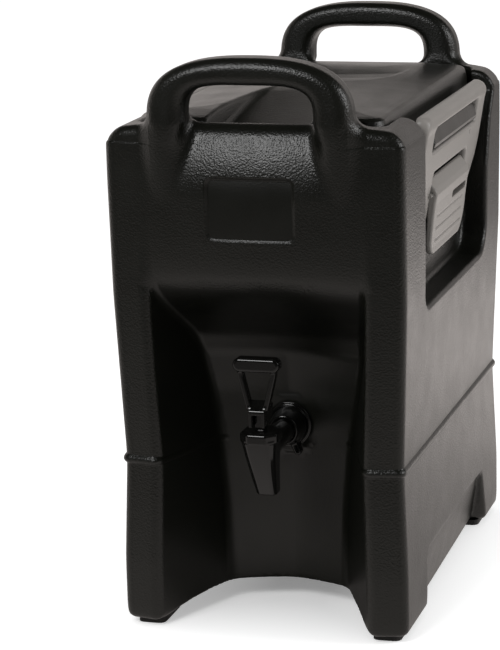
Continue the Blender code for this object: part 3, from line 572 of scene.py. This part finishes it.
frame_skins = twins("frame_skin", frame_field, *even((0.103, -0.119, 0.340), (0.133, 0.140, 0.446), 0.0012))
lever_skins = twins("lever_skin", lever_field, *even((0.110, -0.0625, 0.3085), (0.129, 0.0835, 0.383), 0.001))
for word, plate, lever in zip(("right", "left"), frame_skins, lever_skins):
    dress(plate, word + "_frame", "charcoal_nylon", word + "_latch_frame")
    dress(lever, word + "_lever", "charcoal_nylon", word + "_latch_lever")

faucet_lines = even((-0.020, -0.220, 0.119), (0.020, -0.0505, 0.188), 0.0008)
faucet_skin = put("faucet_body_skin", *mould(faucet_field, *faucet_lines))
dress(faucet_skin, "body", "gloss_black", "faucet_body")
bonnet_lines = even((-0.016, -0.2165, 0.1795), (0.016, -0.184, 0.2005), 0.0006)
bonnet_skin = put("bonnet_skin", *mould(bonnet_field, *bonnet_lines))
dress(bonnet_skin, "body", "gloss_black", "faucet_bonnet")
grip_lines = even((-0.023, -0.2160, 0.186), (0.023, -0.1840, 0.2545), 0.0006)
grip_skin = put("grip_skin", *mould(grip_field, *grip_lines))
dress(grip_skin, "tap_handle", "gloss_black", "faucet_handle", "handle_pin")
nut_lines = even((-0.026, -0.1355, 0.135), (0.026, -0.107, 0.188), 0.0007)
nut_skin = put("nut_skin", *mould(nut_field, *nut_lines))
dress(nut_skin, "body", "gloss_black", "wing_nut")


def finish(name, colour, rough, grain_mm, deep_mm, cloud_mm, cloud, ior=1.5, shared=False):
    """A finish with cells of a given pitch and depth, and clouds of paler and duller skin, in millimetres.

    Where the grain is shared, the piece says point by point how much of its depth shows.
    """
    made = bpy.data.materials.new(name)
    made.use_nodes = True
    tree = made.node_tree
    shader = tree.nodes["Principled BSDF"]
    shader.inputs["IOR"].default_value = ior
    where = add(tree, "ShaderNodeTexCoord").outputs["Object"]
    patches = add(tree, "ShaderNodeTexNoise", None, Vector=where, Scale=1000 / cloud_mm, Detail=3).outputs[0]
    tone = add(tree, "ShaderNodeMapRange", None, _0=patches, _1=0.3, _2=0.7, _3=1 - cloud, _4=1 + cloud)
    tinted = add(tree, "ShaderNodeHueSaturation", None, Color=linear(colour), Value=tone.outputs[0])
    dull = add(tree, "ShaderNodeMath", {"operation": "MULTIPLY"}, _0=tone.outputs[0], _1=rough)
    cells = add(tree, "ShaderNodeTexVoronoi", {"feature": "SMOOTH_F1"}, Vector=where, Scale=1000 / grain_mm)
    height = cells.outputs["Distance"]
    bump = add(tree, "ShaderNodeBump", None, Height=height, Strength=1.0, Distance=deep_mm / 1000)
    if shared:
        share_of = add(tree, "ShaderNodeAttribute", {"attribute_name": "grain"})
        tree.links.new(share_of.outputs["Fac"], bump.inputs["Strength"])
    for socket, source in (("Base Color", tinted), ("Roughness", dull), ("Normal", bump)):
        tree.links.new(source.outputs[0], shader.inputs[socket])
    return made


# Rotationally moulded polyethylene with a leather grain: near black, a soft broken sheen, pebbles that glint
black_polyethylene = finish(
    "moulded_polyethylene_leather_grain", "#0c0d08", 0.34, 1.5, 0.30, 30, 0.07, shared=True
)
# Glass-filled nylon from a spark-eroded mould: an even satin grey. Its 0.3 mm pits are drawn at 1.3 to show
charcoal_nylon = finish("moulded_glass_filled_nylon", "#7f7b77", 0.40, 1.3, 0.045, 18, 0.05)
# Acetal from a polished mould: deep black with sharp reflections, which waver where the skin shrank
gloss_acetal = finish("moulded_polished_acetal", "#0a0a09", 0.08, 5.0, 0.008, 12, 0.15, 1.48)
# Smooth polyethylene inside: dark grey and waxy, with the long low waves of a moulded wall
liner_polyethylene = finish("moulded_polyethylene_smooth", "#4f4f4d", 0.36, 14, 0.12, 45, 0.08, 1.51)
# Rigid polyurethane foam, foamed in place: cream, dead matt, with open cells in its skin
cream_foam = finish("foamed_polyurethane", "#eee6cc", 0.92, 1.6, 0.55, 22, 0.06)
# Silicone from a matt mould: milky white with a dusty bloom
milky_silicone = finish("moulded_silicone", "#e3e0d8", 0.50, 1.2, 0.03, 9, 0.05, 1.41)
# Rubber for the feet: flat black, finely pitted, scuffed paler in patches
black_rubber = finish("moulded_nitrile_rubber", "#141413", 0.72, 1.2, 0.08, 7, 0.18, 1.52)
# Stainless steel, turned: bright, with a fine tool mark that spreads its reflections
turned_steel = finish("turned_stainless_steel", "#c8c8c6", 0.28, 0.8, 0.012, 4, 0.10)
turned_steel.node_tree.nodes["Principled BSDF"].inputs["Metallic"].default_value = 1.0

# Which finish each plain solid has, by a word in its name
NODE_FINISH = (
    ("lid_shell", black_polyethylene), ("latch", charcoal_nylon), ("catch_screw", turned_steel),
    ("catch", charcoal_nylon), ("pin", turned_steel), ("faucet", gloss_acetal), ("nut", gloss_acetal),
    ("outer_washer", black_rubber), ("washer", milky_silicone), ("tank", liner_polyethylene),
    ("lid_pan", liner_polyethylene), ("foam", cream_foam), ("gasket", milky_silicone),
    ("cup", milky_silicone), ("foot", black_rubber), ("outer_shell", black_polyethylene),
)
for name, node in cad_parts.items():
    node.data.materials.clear()
    node.data.materials.append(next(made for word, made in NODE_FINISH if word in name))
for skins, made in (
    (shell_skins + [lid_skin], black_polyethylene),
    (frame_skins + lever_skins, charcoal_nylon),
    ((faucet_skin, bonnet_skin, grip_skin, nut_skin), gloss_acetal),
):
    for skin in skins:
        skin.data.materials.append(made)


# Floor, world and lamps. POOL is how bright gloss sees the floor, by how far back: a pool of light painted on
# the floor, which only reflections see. WALLS is the same for the room, by direction front to back, and RISE
# by direction upwards.
POOL = (
    (-2.2, 0.05), (-1.6, 0.09), (-0.9, 0.29), (-0.4, 0.52), (0.0, 0.60), (0.3, 0.78), (0.7, 1.45),
    (1.2, 1.45), (1.5, 0.65), (1.9, 0.35),
)
WALLS = ((-1.0, 0.06), (-0.5, 0.08), (0.0, 0.30), (0.5, 0.75), (1.0, 0.95))
RISE = (
    (-0.2, 0.7), (0.10, 0.9), (0.23, 1.05), (0.30, 0.75), (0.38, 0.22), (0.46, 0.07), (0.60, 0.04),
    (1.0, 0.03),
)


def stepped(tree, value, stops):
    """A strength that follows a value through a list of stops."""
    low, high = stops[0][0], stops[-1][0]
    top = max(strength for _, strength in stops)
    place = add(tree, "ShaderNodeMapRange", None, _0=value, _1=low, _2=high)
    ramp = add(tree, "ShaderNodeValToRGB", None, _0=place.outputs[0])
    band = ramp.color_ramp
    while len(band.elements) < len(stops):
        band.elements.new(0.5)
    for knot, (at, strength) in zip(band.elements, stops):
        knot.position = (at - low) / (high - low)
        knot.color = (strength / top, strength / top, strength / top, 1)
    return add(tree, "ShaderNodeMath", {"operation": "MULTIPLY"}, _0=ramp.outputs[0], _1=top).outputs[0]


side = 6.0
floor = put(
    "studio_floor",
    np.array([(-side, -side, 0), (side, -side, 0), (side, side, 0), (-side, side, 0)], float),
    np.array([[0, 1, 2, 3]]),
)
paper = bpy.data.materials.new("white_paper_sweep")
paper.use_nodes = True
tree = paper.node_tree
shader = tree.nodes["Principled BSDF"]
shader.inputs["Base Color"].default_value = (0.9, 0.9, 0.9, 1)
shader.inputs["Roughness"].default_value = 0.8
shader.inputs["Specular IOR Level"].default_value = 0.2
path = add(tree, "ShaderNodeLightPath").outputs
straight, through = path["Is Camera Ray"], path["Is Transmission Ray"]
seen = add(tree, "ShaderNodeMath", {"operation": "MAXIMUM"}, _0=straight, _1=through)
place = add(tree, "ShaderNodeSeparateXYZ", None, _0=add(tree, "ShaderNodeTexCoord").outputs["Object"]).outputs
aside = add(tree, "ShaderNodeMath", {"operation": "ABSOLUTE"}, _0=place["X"])
along = add(tree, "ShaderNodeMath", {"operation": "ABSOLUTE"}, _0=place["Y"])
aside = add(tree, "ShaderNodeMath", {"operation": "SUBTRACT"}, _0=aside.outputs[0], _1=0.125)
along = add(tree, "ShaderNodeMath", {"operation": "SUBTRACT"}, _0=along.outputs[0], _1=0.215)
clear = add(tree, "ShaderNodeMath", {"operation": "MAXIMUM"}, _0=aside.outputs[0], _1=along.outputs[0])
# Painted shadow: the floor's glow in reflections drops to 0.15 under the body's footprint
painted_pool_shadow = add(tree, "ShaderNodeMapRange", None, _0=clear.outputs[0], _1=-0.06, _2=0.0, _3=0.15, _4=1.0)
# Painted shadow: the white glow that camera rays see falls from 0.56 to 0.24 towards and under the body
under = add(tree, "ShaderNodeMapRange", None, _0=clear.outputs[0], _1=-0.10, _2=0.04, _3=0.24, _4=0.56)
part = add(tree, "ShaderNodeMath", {"operation": "MULTIPLY"}, _0=seen.outputs[0], _1=under.outputs[0])
glow = add(tree, "ShaderNodeEmission", None, Color=(1, 1, 1, 1), Strength=part.outputs[0])
lit = add(tree, "ShaderNodeAddShader", None, _0=shader.outputs[0], _1=glow.outputs[0])
# Painted pool of light: for glossy rays the floor glows by these stops instead of being lit
painted_pool_strength = stepped(tree, place["Y"], POOL)
painted_pool_strength = add(tree, "ShaderNodeMath", {"operation": "MULTIPLY"}, _0=painted_pool_strength, _1=painted_pool_shadow.outputs[0])
pool = add(tree, "ShaderNodeEmission", None, Color=(1.0, 0.925, 0.885, 1), Strength=painted_pool_strength.outputs[0])
both = add(tree, "ShaderNodeMixShader", None, _0=path["Is Glossy Ray"], _1=lit.outputs[0], _2=pool.outputs[0])
tree.links.new(both.outputs[0], tree.nodes["Material Output"].inputs["Surface"])
floor.data.materials.append(paper)

world = bpy.data.worlds.new("white_studio")
bpy.context.scene.world = world
world.use_nodes = True
tree = world.node_tree
path = add(tree, "ShaderNodeLightPath").outputs
straight, through = path["Is Camera Ray"], path["Is Transmission Ray"]
seen = add(tree, "ShaderNodeMath", {"operation": "MAXIMUM"}, _0=straight, _1=through)
plain = add(tree, "ShaderNodeBackground", None, Color=(1, 1, 1, 1), Strength=0.58)
white = add(tree, "ShaderNodeBackground", None, Color=(1, 1, 1, 1), Strength=1.0)
ray = add(tree, "ShaderNodeTexCoord").outputs["Generated"]
way = add(tree, "ShaderNodeSeparateXYZ", None, _0=ray).outputs
deep = stepped(tree, way["Y"], WALLS)
side_on = add(tree, "ShaderNodeMapRange", None, _0=way["X"], _1=-0.45, _2=0.35, _3=1.2, _4=0.62)
deep = add(tree, "ShaderNodeMath", {"operation": "MULTIPLY"}, _0=deep, _1=stepped(tree, way["Z"], RISE))
room = add(tree, "ShaderNodeMath", {"operation": "MULTIPLY"}, _0=deep.outputs[0], _1=side_on.outputs[0])
seen_in = add(tree, "ShaderNodeBackground", None, Color=(1.0, 0.925, 0.885, 1), Strength=room.outputs[0])
gloss = path["Is Glossy Ray"]
mix = add(tree, "ShaderNodeMixShader", None, _0=gloss, _1=plain.outputs[0], _2=seen_in.outputs[0])
mix = add(tree, "ShaderNodeMixShader", None, _0=seen.outputs[0], _1=mix.outputs[0], _2=white.outputs[0])
tree.links.new(mix.outputs[0], tree.nodes["World Output"].inputs["Surface"])


def aim(obj, place, target):
    """Stands an object at a place with its front, the minus z side, turned to the target."""
    back = np.array(place, float) - target
    back /= np.linalg.norm(back)
    right = np.cross((0, 0, 1), back)
    right /= np.linalg.norm(right)
    up = np.cross(back, right)
    turn = np.eye(4)
    turn[:3, 0], turn[:3, 1], turn[:3, 2], turn[:3, 3] = right, up, back, place
    obj.matrix_world = Matrix(turn.tolist())


def lamp(name, place, target, width, height, watts):
    """An oblong soft box at a place, turned to its target."""
    light = bpy.data.lights.new(name, "AREA")
    light.shape = "RECTANGLE"
    light.size = width
    light.size_y = height
    light.energy = watts
    obj = bpy.data.objects.new(name, light)
    bpy.context.scene.collection.objects.link(obj)
    aim(obj, place, np.array(target, float))
    return obj


lamp("soft_box_front", (-0.55, -1.70, 1.62), (0, -0.2, 0.42), 0.90, 0.72, 20)
lamp("soft_box_right", (2.0, 0.2, 1.2), (0, 0, 0.25), 1.0, 1.0, 16)

# Camera, fitted to the photograph
YAW, PITCH, ROLL = np.radians((16.61, 13.17, -1.40))
forward = np.array((-np.sin(YAW) * np.cos(PITCH), np.cos(YAW) * np.cos(PITCH), -np.sin(PITCH)))
level = np.cross(forward, (0, 0, 1))
level /= np.linalg.norm(level)
upright = np.cross(level, forward)
right = np.cos(ROLL) * level + np.sin(ROLL) * upright
up = np.cos(ROLL) * upright - np.sin(ROLL) * level
spot = np.array((0, 0, 0.25)) - 2.376 * forward - 0.064 * right - 0.019 * up
lens = bpy.data.cameras.new("photo_camera")
lens.sensor_width = 36
lens.lens = 36 * 2568 / 650
view = bpy.data.objects.new("photo_camera", lens)
bpy.context.scene.collection.objects.link(view)
turn = np.eye(4)
turn[:3, 0], turn[:3, 1], turn[:3, 2], turn[:3, 3] = right, up, -forward, spot
view.matrix_world = Matrix(turn.tolist())
bpy.context.scene.camera = view
bpy.context.scene.view_settings.view_transform = "Standard"
